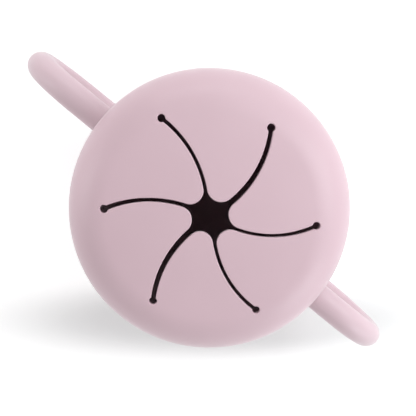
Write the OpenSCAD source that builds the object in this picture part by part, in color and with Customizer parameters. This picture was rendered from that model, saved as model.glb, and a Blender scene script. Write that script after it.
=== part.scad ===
// Toddler snack cup: a soft cup with two loop handles and a domed lid whose six curved flaps
// let a small hand in and keep the snacks from falling out.
// The cup stands on its foot at z = 0 with its axis on Z; the handles lie along X.

/* [Cup] */
// Height of the cup from its foot to its rim
cup_h = 77; // [70:1:100]
// Outside diameter at the foot
foot_d = 64; // [58:1:70]
// Thickness of the side wall
wall = 2.6; // [2:0.1:3]
// Thickness of the cup's floor above the recess
floor_t = 3; // [2:0.1:4]
// Radius where the side turns under into the foot
foot_round = 5; // [3:0.5:8]
// Diameter of the shallow recess under the foot
recess_d = 46; // [30:1:48]
// Depth of the recess under the foot
recess_depth = 0.8; // [0.4:0.1:1.5]
// Height of the rim collar that the lid grips
collar_h = 6.5; // [5:0.25:7]
// How far the rim collar stands out from the neck below it
collar_out = 1.9; // [1.5:0.1:3]
// Radius of the rim's rounded edges
rim_round = 1.2; // [0.6:0.1:1.6]

/* [Lid] */
// Widest diameter of the lid
lid_d = 90; // [86:0.5:96]
// Thickness of the lid's side round the rim collar
lid_side = 3.4; // [3:0.1:4]
// Radius of the rounded shoulder between the lid's side and its top
shoulder_r = 15; // [14:0.5:17]
// Thickness of the lid's top, its shoulder and its flaps
lid_t = 2; // [1.6:0.1:2.4]
// Height of the middle of the lid above the top of its shoulder
crown = 1.3; // [0.6:0.1:2]
// Height of the rounded lip below the lid's widest circle
lip_h = 1.2; // [0.8:0.1:1.6]
// Height of the rim's seat above the lid's widest circle
seat_h = 6; // [5:0.25:6.5]
// Thickness of the rib that stands inside the rim
rib_t = 1.6; // [1.2:0.1:2]
// Length of that rib below the seat
rib_len = 5; // [3:0.25:6]
// Angle by which the lid is turned on the cup, from the right handle
lid_turn = 35; // [0:1:60]

/* [Slits and flaps] */
// Radius of the circle that the six slit-end holes lie on
slit_ring_r = 31.7; // [30.5:0.1:32]
// Diameter of the slit-end holes
hole_d = 2.4; // [2.2:0.1:3]
// Width of the slits
slit_w = 1.2; // [0.8:0.1:1.6]
// Bow radius of the slits
slit_bow = 33.5; // [30:0.5:40]
// Angle at which a slit leaves its hole, from the line to the lid's centre
slit_lean = 27.5; // [24:0.5:30]
// Radius of the flaps' rounded tips
tip_r = 4.1; // [3.2:0.1:4.6]

/* [Handles] */
// Width over both handle loops
handle_span = 161; // [155:1:170]
// Distance between the middles of a loop's upper and lower legs
loop_h = 40; // [36:1:44]
// Thickness of the round handle bar
handle_d = 9.4; // [8:0.2:10.4]
// Radius of the blend where a leg meets the cup
root_blend = 4; // [2:0.25:4.5]

/* [Fits] */
// Gap all round between the rim and the lid's channel
lid_fit = 0.2; // [0.1:0.05:0.3]
// Gap between the rim's top and its seat in the lid
seat_gap = 0.2; // [0.1:0.05:0.4]
// Gap between a flap's rounded root and its groove in the lid
hinge_gap = 0.35; // [0.3:0.05:0.4]
// How far the line that a flap bends about lies below the middle of the lid's thickness
hinge_drop = 0.1; // [0.05:0.01:0.12]
// Gap between the lid's lip and the handles' upper legs
handle_gap = 0.8; // [0.5:0.1:2]

/* [Hidden] */
$fn = 120;
slack = 1;                     // how far a cutting shape runs past what it cuts
silicone = [0.84, 0.74, 0.77];

// radii of the rim and of the channel that takes it
lid_r = lid_d / 2;
channel_r = lid_r - lid_side;
collar_r = channel_r - lid_fit;
neck_r = collar_r - collar_out;
inner_r = neck_r - wall;

// cup
foot_r = foot_d / 2;
neck_z = cup_h - collar_h;
cup_floor = recess_depth + floor_t;

// lid; its dome is a large arc that runs smoothly into the arc of the shoulder
shoulder_c = lid_r - shoulder_r;
seat_z = cup_h + seat_gap;
wide_z = seat_z - seat_h;
lip_z = wide_z - lip_h;
top_z = wide_z + shoulder_r + crown;
dome_r = (shoulder_c * shoulder_c + crown * crown) / (2 * crown) + shoulder_r;
dome_c = top_z - dome_r;
dome_lean = asin(shoulder_c / (dome_r - shoulder_r));
rib_r = inner_r - lid_fit;
rib_z = seat_z - rib_len;

// flaps
flap_count = 6;
flap_angle = 360 / flap_count;
hinge_x = slit_ring_r * cos(flap_angle / 2);
hinge_half = slit_ring_r * sin(flap_angle / 2);
root_len = 2 * hinge_half - hole_d - 2 * hinge_gap;
hinge_z = (dome_z(hinge_x) + dome_z(norm([hinge_x, root_len / 2]))) / 2 - lid_t / 2
    - hinge_drop;
groove_len = 2 * hinge_half - hole_d / 2;

// handles
side_lean = atan((neck_r - foot_r) / (neck_z - foot_round));
blend_bed = 0.1;               // how far a leg's blend is bedded below the cup's side
handle_r = handle_d / 2;
loop_r = loop_h / 2;
upper_leg_z = lip_z - handle_gap - handle_r;
loop_z = upper_leg_z - loop_r;
loop_x = handle_span / 2 - handle_r - loop_r;

// Radius of the cup's tapered side at a height
function side_r(z) = foot_r + (neck_r - foot_r) * (z - foot_round) / (neck_z - foot_round);

// Height of the lid's dome at a distance from its axis
function dome_z(r) = dome_c + sqrt(dome_r * dome_r - r * r);

// Point at a radius and an angle
function polar(r, a) = r * [cos(a), sin(a)];

// Centre of the bow of the slit whose hole lies at angle a
function bow_centre(a) =
    polar(slit_ring_r - slit_bow * sin(slit_lean), a) + polar(slit_bow * cos(slit_lean), a + 90);

// The meeting point of two circles that lies to the left of the line from c1 to c2
function meet(c1, r1, c2, r2) =
    let (d = norm(c2 - c1), e = (c2 - c1) / d, along = (r1 * r1 - r2 * r2 + d * d) / (2 * d))
    c1 + along * e + sqrt(r1 * r1 - along * along) * [-e.y, e.x];

// Quarter of a disc in the first, second, third or fourth quadrant
module quarter(r, quadrant) {
    rotate(90 * (quadrant - 1)) intersection() {
        circle(r);
        square(r);
    }
}

// ---------------------------------------------------------------- cup

// Half section of the cup's outside, filled to the axis
module cup_outside_2d() {
    square([foot_r - foot_round, foot_round]);
    translate([foot_r - foot_round, foot_round]) quarter(foot_round, 4);
    polygon([[0, foot_round], [foot_r, foot_round], [neck_r, neck_z], [0, neck_z]]);
    translate([0, neck_z]) square([collar_r, collar_h - rim_round]);
    translate([0, cup_h - rim_round]) square([collar_r - rim_round, rim_round]);
    translate([collar_r - rim_round, cup_h - rim_round]) quarter(rim_round, 1);
}

// Half section of the room inside the cup
module cup_room_2d() {
    inner_round = foot_round - wall / 2;
    inner_foot = side_r(cup_floor + inner_round) - wall;
    translate([0, cup_floor]) square([inner_foot - inner_round, inner_round]);
    translate([inner_foot - inner_round, cup_floor + inner_round]) quarter(inner_round, 4);
    polygon([[0, cup_floor + inner_round], [inner_foot, cup_floor + inner_round],
             [inner_r, neck_z], [0, neck_z]]);
    translate([0, neck_z]) square([inner_r, collar_h + slack]);
}

// What rounds the rim's inner edge off
module rim_inner_edge_2d() {
    translate([inner_r, cup_h - rim_round]) difference() {
        translate([-slack, 0]) square([rim_round + slack, rim_round + slack]);
        translate([rim_round, 0]) circle(rim_round);
    }
}

module cup_body() {
    color(silicone) difference() {
        rotate_extrude() difference() {
            cup_outside_2d();
            cup_room_2d();
            rim_inner_edge_2d();
        }
        translate([0, 0, -slack]) cylinder(d = recess_d, h = recess_depth + slack);
    }
}

// ---------------------------------------------------------------- handles

// Blend ring where a leg leaves the cup's side; its own axis is the leg's
module leg_blend() {
    rotate_extrude() {
        translate([0, -handle_r]) square([handle_r + root_blend, handle_r]);
        square([handle_r, root_blend]);
        translate([handle_r, 0]) difference() {
            square(root_blend);
            translate([root_blend, root_blend]) circle(root_blend);
        }
    }
}

// One straight leg from inside the cup's wall to the start of the loop's bend
module leg(z) {
    wall_r = side_r(z);
    reach = handle_r + root_blend;
    blend_sag = wall_r - sqrt(wall_r * wall_r - reach * reach) + blend_bed;
    translate([0, 0, z]) rotate([0, 90, 0]) cylinder(r = handle_r, h = loop_x);
    translate([wall_r - blend_sag, 0, z]) rotate([0, 90 + side_lean, 0]) leg_blend();
}

// Loop handle on the +X side, cut to sit on the cup's side
module handle() {
    difference() {
        union() {
            leg(loop_z + loop_r);
            leg(loop_z - loop_r);
            translate([loop_x, 0, loop_z]) rotate([90, 0, 0]) rotate([0, 0, -90])
                rotate_extrude(angle = 180) translate([loop_r, 0]) circle(handle_r);
        }
        rotate_extrude() cup_outside_2d();
    }
}

module right_handle() {
    color(silicone) handle();
}

module left_handle() {
    color(silicone) mirror([1, 0, 0]) handle();
}

// ---------------------------------------------------------------- lid

// Half section of the room under the lid's outside, moved in by a thickness
module lid_under_2d(inset) {
    join_x = (dome_r - inset) * sin(dome_lean);      // where the dome runs into the shoulder
    intersection() {
        translate([0, dome_c]) circle(dome_r - inset, $fn = 1440);
        translate([0, wide_z]) square([join_x, shoulder_r + crown]);
    }
    translate([shoulder_c, wide_z]) quarter(shoulder_r - inset, 1);
}

// Half section of the lid's outside, filled to the axis
module lid_outside_2d() {
    lid_under_2d(0);
    translate([0, lip_z]) square([lid_r - lip_h, lip_h]);
    translate([lid_r - lip_h, wide_z]) quarter(lip_h, 4);
}

// Half section of the room under the lid, inside its rib
module lid_room_2d() {
    intersection() {
        union() {
            lid_under_2d(lid_t);
            translate([0, lip_z - slack]) square([lid_r, lip_h + slack]);
        }
        translate([0, lip_z - slack]) square([rib_r - rib_t, top_z - lip_z + 2 * slack]);
    }
}

// The whole lid as a shell of revolution, before the slits part it
module lid_blank() {
    rotate_extrude() difference() {
        lid_outside_2d();
        lid_room_2d();
        // channel that takes the cup's rim
        translate([rib_r, lip_z - slack]) square([channel_r - rib_r, seat_z - lip_z + slack]);
        // open space below the rib
        translate([0, lip_z - slack]) square([channel_r, rib_z - lip_z + slack]);
    }
}

// The straight line about which flap n bends, as a bar of radius r
module hinge_bar(n, r, length) {
    rotate(flap_direction(n)) translate([hinge_x, 0, hinge_z]) rotate([90, 0, 0])
        cylinder(r = r, h = length, center = true);
}

// Angle from the X axis of the middle of flap n
function flap_direction(n) = lid_turn + (n - 0.5) * flap_angle;

module lid_shell() {
    color(silicone) difference() {
        lid_blank();
        rotate(lid_turn) translate([0, 0, hinge_z - shoulder_r / 2])
            cylinder(r = slit_ring_r, h = shoulder_r, $fn = flap_count);
        for (n = [1:flap_count]) {
            hinge_bar(n, lid_t / 2 + hinge_gap, groove_len);
            rotate(lid_turn + n * flap_angle)
                translate([slit_ring_r, 0, hinge_z - shoulder_r / 2])
                cylinder(d = hole_d, h = shoulder_r);
        }
    }
}

// ---------------------------------------------------------------- flaps

// Plan of one flap, its middle along +X: between the bows of two slits, with a round tip
module flap_2d() {
    far = bow_centre(flap_angle / 2);        // slit that the flap lies outside
    near = bow_centre(-flap_angle / 2);      // slit whose bow the flap lies inside
    far_r = slit_bow + slit_w / 2;
    near_r = slit_bow - slit_w / 2;
    tip = meet(near, near_r - tip_r, far, far_r + tip_r);
    far_touch = far + far_r * (tip - far) / norm(tip - far);
    near_touch = near + near_r * (tip - near) / norm(tip - near);
    across = far_touch - near_touch;
    translate(tip) circle(tip_r);
    difference() {
        intersection() {
            translate(near) circle(near_r);
            translate([0, -slit_ring_r]) square([hinge_x, 2 * slit_ring_r]);
            translate(near_touch) rotate(atan2(across.y, across.x) - 90)
                translate([0, -slit_ring_r]) square([slit_ring_r, 2 * slit_ring_r]);
        }
        translate(far) circle(far_r);
        for (side = [-1, 1])
            translate([hinge_x, side * hinge_half]) circle(d = hole_d);
    }
}

module flap(n) {
    color(silicone) union() {
        intersection() {
            lid_blank();
            rotate(flap_direction(n)) translate([0, 0, hinge_z - shoulder_r / 2])
                linear_extrude(shoulder_r) flap_2d();
        }
        hinge_bar(n, lid_t / 2, root_len);
    }
}

cup_body();
left_handle();
right_handle();
lid_shell();
flap(1);  // flap_1
flap(2);  // flap_2
flap(3);  // flap_3
flap(4);  // flap_4
flap(5);  // flap_5
flap(6);  // flap_6
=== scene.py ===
"""Toddler snack cup: a soft cup with two loop handles and a domed lid with six curved flaps.

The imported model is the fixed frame. The lid's shell, its six flaps, the cup's body and its two
loop handles are modelled again in full, each in the place of its node. Lengths in this file are
millimetres unless a name says otherwise, and a mesh is brought to metres when it is placed.
Places closer together than NEAR count as one.
"""

import logging
import math
from collections.abc import Callable, Iterable, Sequence
from dataclasses import dataclass, field
from enum import Enum

import bmesh
import bpy
from bpy.types import Material, NodeSocket, Object, World
from mathutils import Matrix, Vector


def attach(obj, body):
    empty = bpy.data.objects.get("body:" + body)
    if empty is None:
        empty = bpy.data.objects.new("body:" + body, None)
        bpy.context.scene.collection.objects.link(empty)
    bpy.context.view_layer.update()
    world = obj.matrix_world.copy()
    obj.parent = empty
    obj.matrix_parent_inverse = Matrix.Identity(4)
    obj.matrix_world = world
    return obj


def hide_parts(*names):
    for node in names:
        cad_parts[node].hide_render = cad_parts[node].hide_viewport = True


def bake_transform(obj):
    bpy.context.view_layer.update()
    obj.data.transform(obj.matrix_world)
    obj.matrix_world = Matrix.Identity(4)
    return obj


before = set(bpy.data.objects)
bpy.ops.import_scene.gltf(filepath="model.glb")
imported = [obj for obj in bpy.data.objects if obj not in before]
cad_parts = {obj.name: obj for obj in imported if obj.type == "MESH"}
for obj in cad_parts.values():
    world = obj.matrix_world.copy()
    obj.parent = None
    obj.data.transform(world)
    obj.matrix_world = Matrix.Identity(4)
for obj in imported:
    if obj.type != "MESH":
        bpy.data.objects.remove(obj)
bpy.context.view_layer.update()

Pair = tuple[float, float]
Triple = tuple[float, float, float]

MM = 0.001
FULL_TURN = 2 * math.pi
NEAR = 0.002
WHITE = (1.0, 1.0, 1.0)
COOL_WHITE = (0.95, 0.99, 1.0)
LOG = logging.getLogger("snack_cup")


# ---------------- plane geometry

def polar(radius: float, degrees: float) -> Vector:
    """Returns the plane point at a radius and an angle."""
    turn = math.radians(degrees)
    return Vector((radius * math.cos(turn), radius * math.sin(turn)))


def unit(turn: float) -> Vector:
    """Returns the plane vector of length 1 in a direction in radians."""
    return Vector((math.cos(turn), math.sin(turn)))


def raised(point: Vector, height: float) -> Vector:
    """Returns a plane point lifted to a height."""
    return Vector((point.x, point.y, height))


def mix(a: float, b: float, share: float) -> float:
    """Returns the number that lies a share of the way from a to b."""
    return a + (b - a) * share


def arc(centre: Vector, radius: float, start: float, sweep: float, steps: int) -> list[Vector]:
    """Returns the steps + 1 points of an arc that starts in a direction and sweeps a turn, in radians."""
    return [centre + radius * unit(start + sweep * k / steps) for k in range(steps + 1)]


def heading(start: Vector, end: Vector) -> float:
    """Returns the direction from start to end, in radians."""
    way = end - start
    return math.atan2(way.y, way.x)


def short_turn(start: float, end: float) -> float:
    """Returns the shorter turn from one direction to another, in radians."""
    return (end - start + math.pi) % FULL_TURN - math.pi


def meeting(c1: Vector, r1: float, c2: Vector, r2: float, side: int) -> Vector:
    """Returns a meeting point of two circles.

    Args:
        c1: Centre of the first circle.
        r1: Radius of the first circle.
        c2: Centre of the second circle.
        r2: Radius of the second circle.
        side: 1 for the point to the left of the line from c1 to c2, -1 for the other.

    Returns:
        The meeting point.
    """
    span = (c2 - c1).length
    way = (c2 - c1) / span
    along = (r1 * r1 - r2 * r2 + span * span) / (2 * span)
    across = math.sqrt(r1 * r1 - along * along)
    return c1 + along * way + side * across * Vector((-way.y, way.x))


@dataclass
class Profile:
    """Half section of a turned form: a line whose corners are rounded.

    Attributes:
        corners: Its corners so far, each a radius, a height and a rounding.
    """

    corners: list[Triple] = field(default_factory=list)

    def to(self, radius: float, height: float, rounding: float = 0.0) -> "Profile":
        """Adds a corner with its rounding radius and returns the profile."""
        self.corners.append((radius, height, rounding))
        return self

    def line(self, steps: int = 5) -> list[Vector]:
        """Returns the points of the line with every rounded corner as an arc.

        Args:
            steps: Number of steps in a corner's arc.

        Returns:
            Plane points, each a radius and a height.
        """
        spots = [Vector(corner[:2]) for corner in self.corners]
        points = [spots[0]]
        for k in range(1, len(spots) - 1):
            points += self._corner(spots[k - 1], spots[k], spots[k + 1], self.corners[k][2], steps)
        return points + [spots[-1]]

    @staticmethod
    def _corner(before: Vector, spot: Vector, after: Vector, rounding: float, steps: int) -> list[Vector]:
        """Returns the arc that rounds one corner, or the corner itself where it is sharp.

        Args:
            before: The corner before it.
            spot: The corner.
            after: The corner after it.
            rounding: Radius of the arc, 0 for a sharp corner.
            steps: Number of steps in the arc.

        Returns:
            The points of the arc.
        """
        if rounding == 0:
            return [spot]
        back = (before - spot).normalized()
        ahead = (after - spot).normalized()
        half = back.angle(ahead) / 2
        centre = spot + (back + ahead).normalized() * (rounding / math.sin(half))
        reach = rounding / math.tan(half)
        first = heading(centre, spot + back * reach)
        last = heading(centre, spot + ahead * reach)
        return arc(centre, rounding, first, short_turn(first, last), steps)


# ---------------- modelling steps

def clear_selection() -> None:
    """Goes to object mode with nothing selected."""
    if bpy.context.object and bpy.context.object.mode != "OBJECT":
        bpy.ops.object.mode_set(mode="OBJECT")
    bpy.ops.object.select_all(action="DESELECT")


class Workpiece:
    """A mesh object on the bench, shaped in edit mode and set down finished."""

    def __init__(self, name: str, corners: Sequence[Vector], filled: bool = False) -> None:
        """Starts a piece from a circle primitive whose points are moved onto a loop.

        Args:
            name: Name of the piece.
            corners: The loop's points in order, in millimetres.
            filled: Whether the loop is closed by a face.
        """
        clear_selection()
        bpy.ops.mesh.primitive_circle_add(
            vertices=len(corners), radius=MM, fill_type="NGON" if filled else "NOTHING")
        self.object: Object = bpy.context.object
        self.object.name = name
        self.object.data.name = name
        self.loop = list(range(len(corners)))
        bpy.ops.object.mode_set(mode="EDIT")
        self._put(corners)

    def _grid(self) -> bmesh.types.BMesh:
        """Returns the mesh in edit mode with its lookup tables fresh."""
        grid = bmesh.from_edit_mesh(self.object.data)
        grid.verts.index_update()
        grid.verts.ensure_lookup_table()
        grid.edges.ensure_lookup_table()
        grid.faces.ensure_lookup_table()
        return grid

    def _put(self, corners: Sequence[Vector]) -> None:
        """Moves the points of the present loop to the given places, in millimetres."""
        grid = self._grid()
        for index, corner in zip(self.loop, corners):
            grid.verts[index].co = Vector((corner.x, corner.y, corner.z)) * MM
        bmesh.update_edit_mesh(self.object.data)

    def _choose(self, mode: str, pick: Callable[[bmesh.types.BMesh], Iterable]) -> None:
        """Selects some points or edges and nothing else.

        Args:
            mode: VERT or EDGE.
            pick: Gives the wanted points or edges of the mesh.
        """
        bpy.ops.mesh.select_mode(type=mode)
        bpy.ops.mesh.select_all(action="DESELECT")
        grid = self._grid()
        for wanted in pick(grid):
            wanted.select = True
        grid.select_flush_mode()
        bmesh.update_edit_mesh(self.object.data)

    def choose_edges(self, wanted: Callable[[Vector, Vector], bool]) -> None:
        """Selects the edges whose two ends, in millimetres, pass a test."""
        self._choose("EDGE", lambda grid: [edge for edge in grid.edges
                                           if wanted(edge.verts[0].co / MM, edge.verts[1].co / MM)])

    def _choose_loop(self) -> None:
        """Selects the present loop."""
        self._choose("VERT", lambda grid: [grid.verts[index] for index in self.loop])

    def extrude_loop(self, corners: Sequence[Vector]) -> None:
        """Extrudes the open loop and moves the new one to its place.

        Args:
            corners: Places of the new loop's points, in millimetres.
        """
        self._choose_loop()
        bpy.ops.mesh.extrude_region_move()
        grid = self._grid()
        old = set(self.loop)
        self.loop = [self._partner(grid.verts[index], old) for index in self.loop]
        self._put(corners)

    @staticmethod
    def _partner(vertex: bmesh.types.BMVert, old: set[int]) -> int:
        """Returns the index of the new point that was extruded from a point of the old loop."""
        ends = (edge.other_vert(vertex) for edge in vertex.link_edges)
        return next(end.index for end in ends if end.select and end.index not in old)

    def cap(self) -> None:
        """Closes the present loop with a face."""
        self._choose_loop()
        bpy.ops.mesh.edge_face_add()

    def extrude_faces(self, lift: float) -> None:
        """Extrudes every face straight up or down by a length in millimetres."""
        bpy.ops.mesh.select_all(action="SELECT")
        bpy.ops.mesh.extrude_region_move(TRANSFORM_OT_translate={"value": (0, 0, lift * MM)})

    def bevel(self, width: float, segments: int = 4) -> None:
        """Rounds the selected edges to a width in millimetres, in so many steps."""
        bpy.ops.mesh.bevel(offset=width * MM, segments=segments, profile=0.5, affect="EDGES",
                           clamp_overlap=False, miter_outer="SHARP", miter_inner="SHARP")

    def slice(self, point: Vector, normal: Vector) -> None:
        """Cuts new edges where a plane through a point, square to a normal, crosses the piece."""
        bpy.ops.mesh.select_all(action="SELECT")
        bpy.ops.mesh.bisect(plane_co=point * MM, plane_no=normal)

    def spin(self, steps: int) -> None:
        """Spins everything once round the Z axis in so many steps. The seam closes when it is merged."""
        bpy.ops.mesh.select_all(action="SELECT")
        bpy.ops.mesh.spin(steps=steps, angle=FULL_TURN, center=(0, 0, 0), axis=(0, 0, 1))

    def reshape(self, place: Callable[[Vector], Vector]) -> None:
        """Moves every point to a new place.

        Args:
            place: Gives a point's new place from its old one, both in millimetres.
        """
        grid = self._grid()
        for vertex in grid.verts:
            vertex.co = place(vertex.co / MM) * MM
        bmesh.update_edit_mesh(self.object.data)

    def merge(self) -> None:
        """Selects everything and merges the doubles."""
        bpy.ops.mesh.select_mode(type="VERT")
        bpy.ops.mesh.select_all(action="SELECT")
        bpy.ops.mesh.remove_doubles(threshold=NEAR * MM)

    def finish(self, smooth_below: float = 32.0) -> Object:
        """Merges doubles, turns the faces outward, smooths the piece and leaves edit mode.

        Args:
            smooth_below: Edges sharper than this many degrees stay sharp.

        Returns:
            The finished object, at the origin.
        """
        self.merge()
        bpy.ops.mesh.normals_make_consistent(inside=False)
        bpy.ops.object.mode_set(mode="OBJECT")
        bpy.ops.object.shade_smooth_by_angle(angle=math.radians(smooth_below))
        self.object.select_set(False)
        return self.object


def true_normals(piece: Object, normal_at: Callable[[Vector], Vector | None]) -> None:
    """Gives a mesh the normals of the smooth surface that its points lie on.

    A face that stands more than 60 degrees off that surface keeps its own.

    Args:
        piece: The finished object.
        normal_at: Gives the surface's normal at a point in millimetres, or None off the surface.
    """
    mesh = piece.data
    least = 0.5
    known = [normal_at(vertex.co / MM) for vertex in mesh.vertices]
    corners = [tuple(corner.vector) for corner in mesh.corner_normals]
    for face in mesh.polygons:
        for loop in face.loop_indices:
            true = known[mesh.loops[loop].vertex_index]
            along = 0.0 if true is None else face.normal.dot(true)
            if abs(along) > least:
                corners[loop] = tuple(true if along > 0 else -true)
    mesh.normals_split_custom_set(corners)


# ---------------- materials

def operator(operation: str, reflected: bool = False) -> Callable[["Signal", object], "Signal"]:
    """Returns an operator of a signal, which adds a Math node.

    Args:
        operation: The node's operation.
        reflected: Whether the signal is the second of the two values.

    Returns:
        The operator.
    """
    def result(self: "Signal", other: object) -> "Signal":
        """Returns the node's result on a signal and another value."""
        first, second = (other, self) if reflected else (self, other)
        return self.tree.node("ShaderNodeMath", {"operation": operation}, {0: first, 1: second})

    return result


class Signal:
    """The output of a shader node, on which sums and tests are written as Python."""

    def __init__(self, tree: "Shader", socket: NodeSocket) -> None:
        """Keeps the shader and the socket that carries the value."""
        self.tree = tree
        self.socket = socket

    __add__ = operator("ADD")
    __radd__ = operator("ADD", reflected=True)
    __sub__ = operator("SUBTRACT")
    __rsub__ = operator("SUBTRACT", reflected=True)
    __mul__ = operator("MULTIPLY")
    __rmul__ = operator("MULTIPLY", reflected=True)
    __gt__ = operator("GREATER_THAN")
    __lt__ = operator("LESS_THAN")


class Shader:
    """A node tree that is filled by one method."""

    def __init__(self, owner: Material | World) -> None:
        """Turns on the nodes of a material or a world and empties its tree."""
        owner.use_nodes = True
        self.tree = owner.node_tree
        self.tree.nodes.clear()

    def node(self, kind: str, settings: dict[str, object] | None = None,
             sockets: dict[int | str, object] | None = None, output: int | str = 0) -> Signal:
        """Adds a node.

        Args:
            kind: The node's type.
            settings: Its settings, set before its sockets.
            sockets: Values, or signals to link, by the name or number of the input.
            output: The output that is returned.

        Returns:
            The chosen output, or the node's first input where it has no output.
        """
        new = self.tree.nodes.new(kind)
        for key, value in (settings or {}).items():
            setattr(new, key, value)
        for key, value in (sockets or {}).items():
            if isinstance(value, Signal):
                self.tree.links.new(value.socket, new.inputs[key])
            else:
                new.inputs[key].default_value = value
        return Signal(self, new.outputs[output] if len(new.outputs) else new.inputs[0])

    def blend(self, share: Signal, first: object, second: object) -> Signal:
        """Returns the colour that lies a share of the way from the first to the second."""
        return self.node("ShaderNodeMix", {"data_type": "RGBA", "clamp_factor": True},
                         {"Factor": share, 6: first, 7: second}, output=2)

    def noise(self, place: Signal, scale: float, detail: float) -> Signal:
        """Returns a noise pattern from 0 to 1 with so many waves per metre."""
        return self.node("ShaderNodeTexNoise", {}, {"Vector": place, "Scale": scale, "Detail": detail})


def linear(red: int, green: int, blue: int) -> tuple[float, float, float, float]:
    """Returns a screen colour from 0 to 255 as a linear colour with full alpha."""
    parts = [value / 255 for value in (red, green, blue)]
    sums = [p / 12.92 if p <= 0.04045 else ((p + 0.055) / 1.055) ** 2.4 for p in parts]
    return (sums[0], sums[1], sums[2], 1.0)


class Moulding(Enum):
    """The two silicone mouldings of the product."""

    CUP = "cup_silicone"
    LID = "lid_silicone"


@dataclass(frozen=True)
class Silicone:
    """Matte dusty-pink silicone with a powdery skin, faint mottling and specks of dust.

    Attributes:
        name: Name of the material.
        pale: Screen colour of its lighter clouds.
        deep: Screen colour of its darker clouds.
        dust: Screen colour of the specks.
        roughness: Middle of its roughness.
        sheen: Strength of the powdery sheen.
        shift: Where its pattern starts, in metres, so that two mouldings differ.
        clouds: Clouds of tone, in waves per metre.
        contrast: How much the clouds' contrast is raised.
        ripple: Unevenness of the skin, in waves per metre.
        grain: Fine grain, in waves per metre.
        cells: Places for a speck per metre.
        speck: Radius of a speck, as a share of its place.
        clean: Share of the places without a speck.
        relief: Shares of grain, ripple and specks in the skin's relief.
        relief_strength: Strength of that relief.
        relief_height: Its height in metres.
    """

    name: str
    pale: tuple[int, int, int] = (211, 183, 192)
    deep: tuple[int, int, int] = (206, 178, 187)
    dust: tuple[int, int, int] = (226, 208, 213)
    roughness: float = 0.40
    sheen: float = 0.45
    shift: float = 0.0
    clouds: float = 38.0
    contrast: float = 1.8
    ripple: float = 620.0
    grain: float = 5200.0
    cells: float = 300.0
    speck: float = 0.045
    clean: float = 0.93
    relief: Triple = (0.55, 0.45, 0.6)
    relief_strength: float = 0.16
    relief_height: float = 0.00012

    def material(self) -> Material:
        """Returns the finish as a new material."""
        made = bpy.data.materials.new(self.name)
        tree = Shader(made)
        place = tree.node("ShaderNodeTexCoord", output="Object")
        place = tree.node("ShaderNodeMapping", {}, {"Vector": place, "Location": (self.shift,) * 3})
        clouds = tree.noise(place, self.clouds, 2.0)
        grain = tree.noise(place, self.grain, 1.0)
        ripple = tree.noise(place, self.ripple, 2.0)
        specks = self._specks(tree, place)
        clouds = clouds * self.contrast - (self.contrast - 1) / 2
        tint = tree.blend(clouds, linear(*self.deep), linear(*self.pale))
        tint = tree.blend(specks * 0.55, tint, linear(*self.dust))
        rough = self.roughness + (ripple - 0.5) * 0.10 + specks * 0.2
        relief = grain * self.relief[0] + ripple * self.relief[1] + specks * self.relief[2]
        bump = tree.node("ShaderNodeBump", {}, {
            "Height": relief, "Strength": self.relief_strength, "Distance": self.relief_height})
        skin = tree.node("ShaderNodeBsdfPrincipled", {}, {
            "Base Color": tint, "Roughness": rough, "Normal": bump, "IOR": 1.43,
            "Specular IOR Level": 0.5, "Sheen Weight": self.sheen, "Sheen Roughness": 0.3})
        tree.node("ShaderNodeOutputMaterial", {}, {"Surface": skin})
        return made

    def _specks(self, tree: Shader, place: Signal) -> Signal:
        """Returns the few specks of dust that silicone gathers.

        Args:
            tree: The material's shader.
            place: The place on the piece.

        Returns:
            1 on a speck, else 0.
        """
        cells = {"Vector": place, "Scale": self.cells}
        near = tree.node("ShaderNodeTexVoronoi", {}, dict(cells), output="Distance")
        draw = tree.node("ShaderNodeTexVoronoi", {}, dict(cells), output="Color")
        draw = tree.node("ShaderNodeSeparateColor", {}, {"Color": draw}, output=0)
        return (near < self.speck) * (draw > self.clean)


# ---------------- lid

# Distances from the lid's axis at which a slit has its three widths and a tip meets its slits.
WIDTHS_AT = (9, 19, 30)
TIP_AT = 10

# Steps along a slit's edge, round a tip or the shoulder, round a hole, along a root and across
# a flap, the length of a step in a flap's corner, and the cuts across a flap near its root.
EDGE_STEPS = 28
ARC_STEPS = 22
HOLE_STEPS = 14
ROOT_STEPS = 20
SPAN_STEPS = 16
CORNER_STEP = 0.25
ROOT_CUTS = (*(k / 2 for k in range(1, 13)), 7, 8.5, 10, 12, 14, 16, 18, 20)


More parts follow.
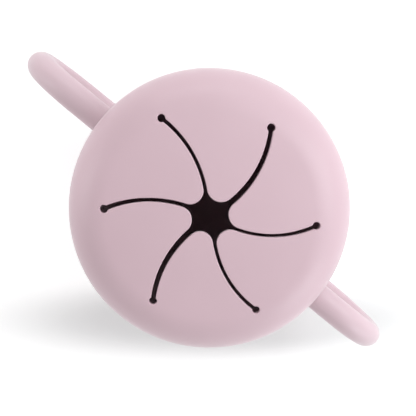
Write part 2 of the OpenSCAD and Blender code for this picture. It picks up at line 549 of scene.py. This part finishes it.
@dataclass(frozen=True)
class Slit:
    """One bowed slit in the lid, from its end hole towards the middle.

    Attributes:
        ring: Distance of the hole's middle from the lid's axis.
        angle: Angle of the hole round the lid, in degrees.
        hole: Diameter of the hole.
        lean: Angle at which the slit leaves the hole, from the line to the axis, in degrees.
        bow: Radius of the slit's bow.
        widths: Widths near the middle of the lid, half way, and at the hole, as WIDTHS_AT says.
    """

    ring: float
    angle: float
    hole: float
    lean: float
    bow: float
    widths: Triple

    @property
    def middle(self) -> Vector:
        """Returns the middle of the hole."""
        return polar(self.ring, self.angle)

    @property
    def centre(self) -> Vector:
        """Returns the centre of the bow."""
        lean = math.radians(self.lean)
        return (polar(self.ring - self.bow * math.sin(lean), self.angle)
                + polar(self.bow * math.cos(lean), self.angle + 90))

    def half_width(self, distance: float) -> float:
        """Returns half the slit's width.

        Args:
            distance: Distance from the lid's axis.

        Returns:
            Half the width there.
        """
        inner, half_way, outer = self.widths
        near, middle, far = WIDTHS_AT
        if distance < middle:
            return mix(inner, half_way, min(max((distance - near) / (middle - near), 0), 1)) / 2
        return mix(half_way, outer, min((distance - middle) / (far - middle), 1)) / 2

    def edge(self, turn: float, side: int) -> Vector:
        """Returns a point of one edge of the slit.

        Args:
            turn: Direction from the bow's centre, in radians.
            side: 1 for the edge outside the bow, -1 for the edge inside it.

        Returns:
            The plane point.
        """
        ray = unit(turn)
        on_slit = self.centre + self.bow * ray
        return on_slit + side * self.half_width(on_slit.length) * ray

    def run(self, start: float, end: float, side: int) -> list[Vector]:
        """Returns points of one edge from one direction up to another, which is left out."""
        sweep = short_turn(start, end)
        return [self.edge(start + sweep * k / EDGE_STEPS, side) for k in range(EDGE_STEPS)]

    def mouth(self, side: int) -> Vector:
        """Returns the point where one edge of the slit runs into its hole."""
        reach = self.bow + side * self.half_width(self.ring)
        both = [meeting(self.middle, self.hole / 2, self.centre, reach, turn) for turn in (1, -1)]
        return min(both, key=lambda point: point.length)


@dataclass(frozen=True)
class LidForm:
    """Section of the lid's shell: a dome that runs smoothly into a round shoulder.

    Attributes:
        top: Height of the dome's middle.
        widest: Radius of the lid at its widest.
        widest_at: Height of that widest circle.
        shoulder: Radius of the shoulder's round.
        crown: Rise of the dome above the top of the shoulder's round.
        wall: Thickness of the shell.
    """

    top: float = 87.5
    widest: float = 45.0
    widest_at: float = 71.2
    shoulder: float = 15.0
    crown: float = 1.3
    wall: float = 2.0

    @property
    def shoulder_centre(self) -> float:
        """Returns the distance of the shoulder's centre from the axis."""
        return self.widest - self.shoulder

    @property
    def dome(self) -> float:
        """Returns the radius of the dome."""
        run = self.shoulder_centre
        return (run * run + self.crown * self.crown) / (2 * self.crown) + self.shoulder

    def join(self, depth: float) -> float:
        """Returns where the dome meets the shoulder, at a depth below the outside."""
        return (self.dome - depth) * self.shoulder_centre / (self.dome - self.shoulder)

    def height(self, radius: float, depth: float = 0.0) -> float:
        """Returns the height of the shell at a radius.

        Args:
            radius: Distance from the axis.
            depth: Depth below the outside.

        Returns:
            The height.
        """
        if radius <= self.join(depth):
            return self.top - self.dome + math.sqrt((self.dome - depth) ** 2 - radius * radius)
        out = min(radius - self.shoulder_centre, self.shoulder - depth)
        return self.widest_at + math.sqrt((self.shoulder - depth) ** 2 - out * out)

    def normal(self, point: Vector) -> Vector | None:
        """Returns the outward normal at a point of the outside or of the underside.

        Args:
            point: A point in the row frame.

        Returns:
            The normal, or None where the point lies on neither surface.
        """
        radius = math.hypot(point.x, point.y)
        for depth in (0.0, self.wall):
            if radius > self.widest - depth or abs(point.z - self.height(radius, depth)) > NEAR:
                continue
            if radius <= self.join(depth):
                return Vector((point.x, point.y, point.z - self.top + self.dome)).normalized()
            out = radius - self.shoulder_centre
            return Vector((point.x / radius * out, point.y / radius * out,
                           point.z - self.widest_at)).normalized()
        return None


@dataclass
class Lid:
    """The lid: one moulding whose top is parted into six flaps by six bowed slits.

    Attributes:
        form: Section of its shell.
        slits: The six slits, counted round the lid.
        tips: Radius of the round tip of each flap.
        edge_round: Rounding of the edges along the slits and holes.
        channel: Radius of the channel's outer wall.
        seat: Height of the channel's seat on the rim.
        rib: Outer radius of the rib inside the rim.
        rib_wall: Thickness of the rib.
        rib_foot: Height of the rib's lower edge.
        lip: Height and rounding of the lip below the widest circle.
        bend: Length of silicone over which a flap bends; not used.
    """

    form: LidForm = field(default_factory=LidForm)
    slits: tuple[Slit, ...] = (
        Slit(32.0, 34.4, 2.4, 29.7, 31.5, (1.05, 1.0, 1.3)),
        Slit(31.8, 95.4, 2.5, 28.4, 32.5, (1.9, 1.6, 1.4)),
        Slit(32.5, 156.0, 2.4, 26.7, 33.6, (1.05, 1.0, 1.1)),
        Slit(31.9, 215.5, 2.5, 27.5, 34.3, (1.3, 1.15, 1.4)),
        Slit(31.2, 275.6, 2.4, 27.1, 33.8, (1.9, 1.6, 1.45)),
        Slit(32.0, 335.4, 2.3, 27.3, 32.8, (1.05, 1.0, 1.2)),
    )
    tips: tuple[float, ...] = (4.2, 4.2, 4.0, 4.1, 3.9, 4.1)
    edge_round: float = 0.3
    channel: float = 41.6
    seat: float = 77.2
    rib: float = 36.7
    rib_wall: float = 1.6
    rib_foot: float = 72.2
    lip: float = 1.2
    bend: float = 6.0

    def build(self, finish: Material) -> list[Object]:
        """Builds and dresses the shell and the six flaps.

        Args:
            finish: Material of the lid.

        Returns:
            The seven pieces.
        """
        shell = self.shell()
        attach(shell, "lid")
        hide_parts("lid_shell")
        pieces = [shell]
        for number in range(1, len(self.slits) + 1):
            flap = self.flap(number)
            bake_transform(flap)
            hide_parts(f"flap_{number}")
            pieces.append(flap)
        for piece in pieces:
            true_normals(piece, self.form.normal)
            piece.data.materials.append(finish)
        return pieces

    # -------- flaps

    def flap_outline(self, number: int) -> list[Vector]:
        """Returns the plan of a flap, between two slits and with a round tip.

        Args:
            number: Number of the flap, from 1.

        Returns:
            Its plane points, with its root as the edge from the last to the first.
        """
        near = self.slits[number - 1]
        far = self.slits[number % len(self.slits)]
        tip, centre, near_touch, far_touch = self._tip(number, near, far)
        root = self._crossing(far, (near.middle - far.middle).normalized())
        points = far.run(root, heading(far.centre, far_touch), 1)
        start = heading(centre, far_touch)
        sweep = (heading(centre, near_touch) - start) % FULL_TURN
        points += arc(centre, tip, start, sweep, ARC_STEPS)[:-1]
        mouth = near.mouth(-1)
        points += near.run(heading(near.centre, near_touch), heading(near.centre, mouth), -1)
        start = heading(near.middle, mouth)
        sweep = short_turn(start, heading(near.middle, far.middle))
        steps = max(2, round(abs(sweep) * near.hole / 2 / CORNER_STEP))
        return points + arc(near.middle, near.hole / 2, start, sweep, steps)

    def _tip(self, number: int, near: Slit, far: Slit) -> tuple[float, Vector, Vector, Vector]:
        """Returns the round tip of a flap.

        Args:
            number: Number of the flap, from 1.
            near: The slit at its near side.
            far: The slit at its far side.

        Returns:
            The tip's radius, its centre and where it touches the near and the far slit.
        """
        tip = self.tips[number - 1]
        near_reach = near.bow - near.half_width(TIP_AT)
        far_reach = far.bow + far.half_width(TIP_AT)
        centre = meeting(near.centre, near_reach - tip, far.centre, far_reach + tip, 1)
        near_touch = near.centre + near_reach * (centre - near.centre).normalized()
        far_touch = far.centre + far_reach * (centre - far.centre).normalized()
        return tip, centre, near_touch, far_touch

    @staticmethod
    def _crossing(far: Slit, root_line: Vector) -> float:
        """Returns the direction from the bow's centre to where a slit's edge crosses the root.

        Args:
            far: The slit.
            root_line: Direction of the root, away from the slit's hole.

        Returns:
            The direction in radians.
        """
        low, high = 0.0, 6.0
        halvings = 40
        for _ in range(halvings):
            along = (low + high) / 2
            point = far.middle + root_line * along
            beyond = (point - far.centre).length > far.bow + far.half_width(far.ring)
            low, high = (low, along) if beyond else (along, high)
        return heading(far.centre, far.middle + root_line * low)

    def flap(self, number: int) -> Object:
        """Builds one flap: its plan, thickened, rounded, and curved to the dome.

        Args:
            number: Number of the flap, from 1.

        Returns:
            The flap.
        """
        outline = [point.to_3d() for point in self.flap_outline(number)]
        piece = Workpiece(f"silicone_flap_{number}", outline, filled=True)
        piece.extrude_faces(-self.form.wall)
        first = outline[0]
        last = outline[-1]

        def on_rim(a: Vector, b: Vector) -> bool:
            """Tells an edge of the upper or lower rim, other than the root."""
            root = all(min((p.xy - first.xy).length, (p.xy - last.xy).length) < NEAR for p in (a, b))
            return abs(a.z - b.z) < NEAR and not root

        piece.choose_edges(on_rim)
        piece.bevel(self.edge_round)
        along = (last - first).normalized()
        inward = Vector((-along.y, along.x, 0))
        if inward.dot(first) > 0:
            inward = -inward
        span = (last - first).length
        for step in ROOT_CUTS:
            piece.slice(first + inward * step, inward)
        for k in range(1, SPAN_STEPS):
            piece.slice(first + along * span * k / SPAN_STEPS, along)
        piece.reshape(lambda p: Vector((p.x, p.y, self.form.height(math.hypot(p.x, p.y), -p.z))))
        return piece.finish()

    # -------- shell

    def _inner_loop(self) -> tuple[list[Vector], list[float]]:
        """Returns the plan of the shell's inner edge and the angle that each point spreads to.

        Returns:
            Plane points along the flaps' roots and round the outer part of each hole, and the
            angle of each on the outer circle, in degrees.
        """
        plan: list[Vector] = []
        angles: list[float] = []
        spread = 7.0
        for number, slit in enumerate(self.slits):
            after = self.slits[(number + 1) % len(self.slits)]
            before = self.slits[number - 1]
            come = heading(slit.middle, before.middle)
            sweep = (heading(slit.middle, after.middle) - come) % FULL_TURN
            plan += arc(slit.middle, slit.hole / 2, come, sweep, HOLE_STEPS)
            angles += [slit.angle + mix(-spread, spread, k / HOLE_STEPS) for k in range(HOLE_STEPS + 1)]
            start = plan[-1]
            end = after.middle + (slit.middle - after.middle).normalized() * after.hole / 2
            next_angle = slit.angle + (after.angle - slit.angle) % 360
            for k in range(1, ROOT_STEPS):
                plan.append(start.lerp(end, k / ROOT_STEPS))
                angles.append(mix(slit.angle + spread, next_angle - spread, k / ROOT_STEPS))
        return plan, angles

    def shell(self) -> Object:
        """Builds the shell: domed ring, shoulder, lip, rim channel and rib.

        Returns:
            The shell.
        """
        form = self.form
        plan, angles = self._inner_loop()
        round_at = 37.0
        rib_inner = self.rib - self.rib_wall

        def between(radius: float, share: float, depth: float) -> list[Vector]:
            """Returns the loop a share of the way from the inner edge to a circle.

            Args:
                radius: Radius of the circle.
                share: Share of the way, from 0 to 1.
                depth: Depth below the outside.

            Returns:
                The loop's points.
            """
            loop = []
            for point, angle in zip(plan, angles):
                turn = math.degrees(heading(Vector((0, 0)), point))
                turn += share * ((angle - turn + 180) % 360 - 180)
                away = mix(point.length, radius, share)
                loop.append(raised(polar(away, turn), form.height(away, depth)))
            return loop

        def circle(radius: float, height: float) -> list[Vector]:
            """Returns a full circle of points at a height."""
            return [raised(polar(radius, angle), height) for angle in angles]

        shares = (0.0, 0.12, 0.24, 0.36, 0.48, 0.6, 0.72, 0.86, 1.0)
        loops = [between(round_at, share, 0.0) for share in shares]
        centre = Vector((form.shoulder_centre, form.widest_at))
        start = math.acos((round_at - form.shoulder_centre) / form.shoulder)
        loops += [circle(p.x, p.y) for p in arc(centre, form.shoulder, start, -start, ARC_STEPS)[1:]]
        below = Profile().to(form.widest, form.widest_at).to(form.widest, form.widest_at - self.lip, self.lip)
        below.to(self.channel, form.widest_at - self.lip, 0.3).to(self.channel, self.seat, 0.8)
        below.to(self.rib, self.seat, 0.5).to(self.rib, self.rib_foot, 0.7)
        below.to(rib_inner, self.rib_foot, 0.7).to(rib_inner, form.height(rib_inner, form.wall))
        loops += [circle(p.x, p.y) for p in below.line()[1:-1]]
        loops += [between(rib_inner, share, form.wall) for share in reversed(shares)]
        piece = Workpiece("silicone_lid_shell", loops[0])
        for loop in loops[1:] + loops[:1]:
            piece.extrude_loop(loop)
        piece.merge()
        holes = [(slit.middle, slit.hole / 2) for slit in self.slits]

        def on_hole(a: Vector, b: Vector) -> bool:
            """Tells an edge of a hole's upper or lower rim."""
            level = abs(a.z - b.z) < 0.5
            return level and any(
                all(abs((p.xy - middle).length - radius) < NEAR for p in (a, b))
                and (a.xy - b.xy).length < radius for middle, radius in holes)

        piece.choose_edges(on_hole)
        piece.bevel(self.edge_round)
        return piece.finish()


# ---------------- cup

# Steps round the body, round the handles' bar, along their bend and along a root's flare.
SPIN_STEPS = 144
BAR_STEPS = 48
BEND_STEPS = 36
FLARE_STEPS = 10
BAR_TURNS = [FULL_TURN * k / BAR_STEPS for k in range(BAR_STEPS)]


@dataclass
class Cup:
    """The cup: one moulding of a tapered body and two loop handles.

    Attributes:
        height: Height of the rim.
        foot: Radius at the foot.
        foot_round: Rounding where the side turns under.
        recess: Radius of the shallow recess under the foot.
        recess_depth: Depth of that recess.
        floor: Height of the inner floor.
        wall: Thickness of the side.
        neck: Radius of the neck below the collar.
        neck_at: Height of the collar's lower edge.
        collar: Radius of the rim collar.
        rim_round: Rounding of the rim.
        bar: Radius of the handles' bar.
        upper: Height of the upper leg.
        lower: Height of the lower leg.
        bend_at: Distance of the bend's centre from the axis.
        root: Rounding between a leg and the body.
        ceiling: Height that the upper root's rounding stays below.
        ease: Length over which that rounding eases into the ceiling.
        tuck: How far a root is tucked into the wall, where it narrows by half as much.
    """

    height: float = 77.0
    foot: float = 32.0
    foot_round: float = 5.0
    recess: float = 23.0
    recess_depth: float = 0.8
    floor: float = 3.8
    wall: float = 2.6
    neck: float = 39.5
    neck_at: float = 70.5
    collar: float = 41.4
    rim_round: float = 1.2
    bar: float = 4.7
    upper: float = 64.5
    lower: float = 24.5
    bend_at: float = 55.8
    root: float = 4.0
    ceiling: float = 70.2
    ease: float = 0.6
    tuck: float = 0.6

    def build(self, finish: Material) -> list[Object]:
        """Builds and dresses the body and the two handles.

        Args:
            finish: Material of the cup.

        Returns:
            The three pieces.
        """
        body = self.body()
        right = self.handle("silicone_handle_right", 1)
        left = self.handle("silicone_handle_left", -1)
        for piece, node in ((body, "cup_body"), (right, "right_handle"), (left, "left_handle")):
            piece.data.materials.append(finish)
            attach(piece, "cup")
            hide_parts(node)
        return [body, right, left]

    def side(self, height: float) -> float:
        """Returns the radius of the tapered side at a height."""
        return mix(self.foot, self.neck, (height - self.foot_round) / (self.neck_at - self.foot_round))

    def body(self) -> Object:
        """Builds the body as a turned form, from the recess over the rim to the inner floor.

        Returns:
            The body.
        """
        inner = self.neck - self.wall
        line = Profile().to(0, self.recess_depth).to(self.recess, self.recess_depth, 0.4)
        line.to(self.recess, 0, 0.35).to(self.foot - 0.3, 0, self.foot_round)
        line.to(self.neck, self.neck_at, 0.8).to(self.collar, self.neck_at, 0.6)
        line.to(self.collar, self.height, self.rim_round).to(inner, self.height, self.rim_round)
        line.to(inner, self.neck_at, 6.0)
        line.to(self.side(self.floor) - self.wall, self.floor, self.foot_round - self.wall / 2)
        line.to(0, self.floor)
        loop = [Vector((p.x, 0, p.y)) for p in line.line(steps=7)]
        piece = Workpiece("silicone_cup_body", loop)
        piece.choose_edges(lambda a, b: abs(a.x) < NEAR and abs(b.x) < NEAR)
        bpy.ops.mesh.delete(type="EDGE_FACE")
        piece.spin(SPIN_STEPS)
        return piece.finish(smooth_below=36.0)

    def _leg(self, height: float, way: int) -> list[list[Vector]]:
        """Returns the loops of one leg, from inside the body's wall out to its bend.

        Args:
            height: Height of the leg's middle.
            way: 1 where the bar's outer side faces up, -1 where it faces down.

        Returns:
            The loops of points, in order away from the body.
        """
        loops: list[list[Vector]] = []
        stages = [(self.tuck, 0.0)] + [(0.0, math.pi / 2 * k / FLARE_STEPS) for k in range(FLARE_STEPS + 1)]
        for sunk, stage in stages:
            loop = []
            for turn in BAR_TURNS:
                up = way * math.sin(turn)
                root = self._root(height, up)
                out = self.bar + root * (1 - math.sin(stage)) - sunk / 2
                y = out * math.cos(turn)
                z = height + out * up
                wall = math.sqrt(self.side(z) ** 2 - y * y)
                loop.append(Vector((wall + root * (1 - math.cos(stage)) - sunk, y, z)))
            loops.append(loop)
        straight = [[Vector((mix(point.x, self.bend_at, share), point.y, point.z)) for point in loops[-1]]
                    for share in (0.45, 0.75)]
        return loops + straight

    def _root(self, height: float, up: float) -> float:
        """Returns the rounding of a leg's root in one direction round the leg.

        Args:
            height: Height of the leg's middle.
            up: How far that direction points up, from -1 to 1.

        Returns:
            The rounding's radius.
        """
        barely_up = 0.05
        if up <= barely_up:
            return self.root
        room = (self.ceiling - height) / up - self.bar
        blend = max(self.ease - abs(room - self.root), 0) / self.ease
        return min(room, self.root) - blend * blend * self.ease / 4

    def handle(self, name: str, side: int) -> Object:
        """Builds one loop handle: a round bar with flared roots on the body.

        Args:
            name: Name of the piece.
            side: 1 for the right handle, -1 for the left one.

        Returns:
            The handle.
        """
        bend = (self.upper - self.lower) / 2
        middle = (self.upper + self.lower) / 2
        loops = self._leg(self.upper, 1)
        for k in range(BEND_STEPS + 1):
            turn = math.pi / 2 - math.pi * k / BEND_STEPS
            ray = Vector((math.cos(turn), 0, math.sin(turn)))
            spot = Vector((self.bend_at, 0, middle)) + bend * ray
            loops.append([spot + self.bar * (math.cos(a) * Vector((0, 1, 0)) + math.sin(a) * ray)
                          for a in BAR_TURNS])
        loops += reversed(self._leg(self.lower, -1))
        loops = [[Vector((side * p.x, p.y, p.z)) for p in loop] for loop in loops]
        piece = Workpiece(name, loops[0])
        piece.cap()
        for loop in loops[1:]:
            piece.extrude_loop(loop)
        piece.cap()
        return piece.finish(smooth_below=50.0)


# ---------------- studio

@dataclass(frozen=True)
class PhotoView:
    """The camera of the photograph, as it was fitted to the lid's holes and outline.

    Attributes:
        distance: Distance along the view to the lid's widest circle.
        scale: Pixels per millimetre at that distance.
        offset: Where the lid's axis crosses the view there, right and down.
        tip: Lean of the cup's axis in the view, right and down.
        turn: Turn of the cup round its axis, in radians.
        pixels: Width of the picture.
        sensor: Width of the sensor.
    """

    distance: float = 200.0
    scale: float = 3.1
    offset: Pair = (0.54, 0.74)
    tip: Pair = (0.013, 0.122)
    turn: float = 0.692
    pixels: int = 416
    sensor: float = 36.0

    def axes(self) -> Matrix:
        """Returns the cup's axes as columns in the view: right, down and ahead."""
        up = Vector((*self.tip, -math.sqrt(1 - self.tip[0] ** 2 - self.tip[1] ** 2)))
        first = (Vector((1, 0, 0)) - up.x * up).normalized()
        second = up.cross(first)
        second = second if second.y > 0 else -second
        right = math.cos(self.turn) * first + math.sin(self.turn) * second
        return Matrix((right, up.cross(right), up)).transposed()

    def directions(self) -> tuple[Vector, Vector, Vector]:
        """Returns the view's right, down and ahead in the row frame."""
        rows = self.axes()
        return (Vector(rows[0]), Vector(rows[1]), Vector(rows[2]))

    def flat(self) -> tuple[Vector, Vector]:
        """Returns the view's right and down as they lie on the floor."""
        right, down, _ = self.directions()
        return raised(right, 0).normalized(), raised(down, 0).normalized()

    def place(self, widest_at: float) -> None:
        """Adds the camera.

        Args:
            widest_at: Height of the lid's widest circle.
        """
        right, down, ahead = self.directions()
        spot = -(self.axes().transposed() @ Vector((*self.offset, self.distance)))
        spot = (spot + Vector((0, 0, widest_at))) * MM
        clear_selection()
        bpy.ops.object.camera_add()
        camera = bpy.context.object
        camera.name = "camera"
        camera.matrix_world = Matrix.Translation(spot) @ Matrix((right, -down, -ahead)).transposed().to_4x4()
        camera.data.sensor_width = self.sensor
        camera.data.lens = self.scale * self.distance / self.pixels * self.sensor
        camera.data.clip_start = 0.01
        camera.data.clip_end = 20
        bpy.context.scene.camera = camera


@dataclass(frozen=True)
class Lamp:
    """A soft rectangular lamp, placed by how the photograph is seen.

    Attributes:
        name: Name of the lamp.
        sideways: Distance to the right in the picture.
        upward: Distance to the top of the picture.
        lift: Height above the floor.
        size: Its two sides, across and along the picture.
        power: Its power in watts.
        tint: Its colour, white unless given.
    """

    name: str
    sideways: float
    upward: float
    lift: float
    size: Pair
    power: float
    tint: Triple = WHITE

    def place(self, view: PhotoView, target: Vector) -> None:
        """Adds the lamp, turned to the object.

        Args:
            view: The camera's view.
            target: What it points at, in millimetres.
        """
        right, down = view.flat()
        spot = right * self.sideways - down * self.upward + Vector((0, 0, self.lift))
        back = (spot - target).normalized()
        across = (right - right.dot(back) * back).normalized()
        turned = Matrix((across, back.cross(across), back)).transposed().to_4x4()
        clear_selection()
        bpy.ops.object.light_add(type="AREA")
        lamp = bpy.context.object
        lamp.name = self.name
        lamp.data.shape = "RECTANGLE"
        lamp.data.size = self.size[0] * MM
        lamp.data.size_y = self.size[1] * MM
        lamp.data.energy = self.power
        lamp.data.color = self.tint
        lamp.matrix_world = Matrix.Translation(spot * MM) @ turned


@dataclass
class Studio:
    """White floor, white surroundings and soft lamps.

    Attributes:
        view: The camera's view.
        ambient: Strength of the even light from the horizon.
        ambient_fall: How much weaker that light is from straight above.
        aim: Height that the lamps are turned to.
        floor_side: Side of the square floor, in metres.
        floor_white: Lightness of the floor, from 0 to 1.
        floor_lift: How much the floor glows for the camera outside the painted shadow, which lifts it to
            white.
        far_lift: How much more it is lifted in the distance.
        shade_at: Middle of the flat oval of painted shadow, to the right and down in the picture.
        shade_size: Half width and half height of that oval.
        shade_core: Share of the oval in which the floor isn't lifted. There the floor's own shading shows as
            the painted shadow.
        foot_reach: Distances from the cup's axis between which the lift grows round the foot, so that shade
            also shows round the foot.
        far_reach: Distances between which the floor fades into the white distance.
        lamps: The lamps.
    """

    view: PhotoView = field(default_factory=PhotoView)
    ambient: float = 1.06
    ambient_fall: float = 1.06
    aim: float = 60.0
    floor_side: float = 6.0
    floor_white: float = 0.88
    floor_lift: float = 0.37
    far_lift: float = 0.8
    shade_at: Pair = (13.6, 58.2)
    shade_size: Pair = (129.0, 23.0)
    shade_core: float = 0.39
    foot_reach: Pair = (43.0, 60.0)
    far_reach: Pair = (100.0, 700.0)
    lamps: tuple[Lamp, ...] = (
        Lamp("strip_light", 0, 190, 580, (560, 60), 0.15),
        Lamp("top_light", 0, 460, 260, (420, 160), 0.52),
        Lamp("high_right_light", 120, 170, 320, (200, 200), 0.12, COOL_WHITE),
        Lamp("right_light", 230, 60, 230, (160, 160), 0.28, COOL_WHITE),
        Lamp("lower_right_light", 320, -300, 240, (220, 220), 0.55, COOL_WHITE),
        Lamp("left_light", -430, 60, 180, (180, 180), 0.28),
    )

    def build(self) -> None:
        """Sets up camera, floor, world and lamps."""
        self.view.place(LidForm().widest_at)
        self._floor()
        self._world()
        for lamp in self.lamps:
            lamp.place(self.view, Vector((0, 0, self.aim)))
        bpy.context.scene.view_settings.view_transform = "Standard"

    def _seen(self, tree: Shader) -> Signal:
        """Returns above 0 for what the camera sees, directly or in gloss or glass."""
        rays = [tree.node("ShaderNodeLightPath", output=name)
                for name in ("Is Camera Ray", "Is Glossy Ray", "Is Transmission Ray")]
        return rays[0] + rays[1] + rays[2]

    def _floor(self) -> None:
        """Adds the floor, a white sheet with a painted shadow: it glows white for the camera except in an
        oval below the cup and round the foot, where its own shading shows.
        """
        clear_selection()
        bpy.ops.mesh.primitive_plane_add(size=self.floor_side, location=(0, 0, 0))
        floor = bpy.context.object
        floor.name = "floor"
        made = bpy.data.materials.new("white_floor")
        tree = Shader(made)
        matte = tree.node("ShaderNodeBsdfDiffuse", {}, {"Color": (*(self.floor_white,) * 3, 1)})
        right, down = self.view.flat()
        middle = right * self.shade_at[0] + down * self.shade_at[1]
        place = tree.node("ShaderNodeTexCoord", output="Object")
        oval = tree.node("ShaderNodeMapping", {"vector_type": "TEXTURE"}, {
            "Vector": place, "Location": middle * MM,
            "Rotation": (0, 0, math.atan2(right.y, right.x)),
            "Scale": (self.shade_size[0] * MM, self.shade_size[1] * MM, 1)})

        def rise(spot: Signal, start: float, full: float, high: float) -> Signal:
            """Returns a value that grows softly from 0 to high with the length of a vector."""
            away = tree.node("ShaderNodeVectorMath", {"operation": "LENGTH"}, {0: spot}, output="Value")
            return tree.node("ShaderNodeMapRange", {"interpolation_type": "SMOOTHSTEP"}, {
                "Value": away, "From Min": start, "From Max": full, "To Min": 0.0, "To Max": high})

        near = [reach * MM for reach in self.foot_reach]
        far = [reach * MM for reach in self.far_reach]
        # Painted shadow: the floor's glow is held back in an oval and round the foot, so shade shows only
        # there.
        lift = rise(oval, self.shade_core, 1.0, self.floor_lift) * rise(place, *near, 1.0)
        lift = lift + rise(place, *far, self.far_lift)
        glow = tree.node("ShaderNodeEmission", {}, {"Strength": self._seen(tree) * lift})
        both = tree.node("ShaderNodeAddShader", {}, {0: matte, 1: glow})
        tree.node("ShaderNodeOutputMaterial", {}, {"Surface": both})
        floor.data.materials.append(made)

    def _world(self) -> None:
        """Sets an even light that the camera sees as white."""
        world = bpy.context.scene.world or bpy.data.worlds.new("world")
        bpy.context.scene.world = world
        tree = Shader(world)
        seen = self._seen(tree)
        toward = tree.node("ShaderNodeTexCoord", output="Generated")
        rise = tree.node("ShaderNodeSeparateXYZ", {}, {"Vector": toward}, output="Z")
        even = self.ambient - rise * rise * self.ambient_fall
        strength = tree.node("ShaderNodeMix", {"data_type": "FLOAT", "clamp_factor": True},
                             {"Factor": seen, 2: even, 3: 1.0})
        light = tree.node("ShaderNodeBackground", {}, {"Color": (1, 1, 1, 1), "Strength": strength})
        tree.node("ShaderNodeOutputWorld", {}, {"Surface": light})


# ---------------- the whole


def main() -> None:
    """Builds the scene in order and reports each piece."""
    logging.basicConfig(level=logging.INFO, format="%(name)s: %(message)s")
    Studio().build()
    cup_finish = Silicone("cup_silicone_pink", pale=(214, 189, 197), deep=(209, 184, 192), shift=0.31)
    lid_finish = Silicone("lid_silicone_pink")
    pieces = Cup().build(cup_finish.material()) + Lid().build(lid_finish.material())
    for piece in pieces:
        LOG.info("%s: %d points, %d faces", piece.name, len(piece.data.vertices), len(piece.data.polygons))


if __name__ == "__main__":
    main()
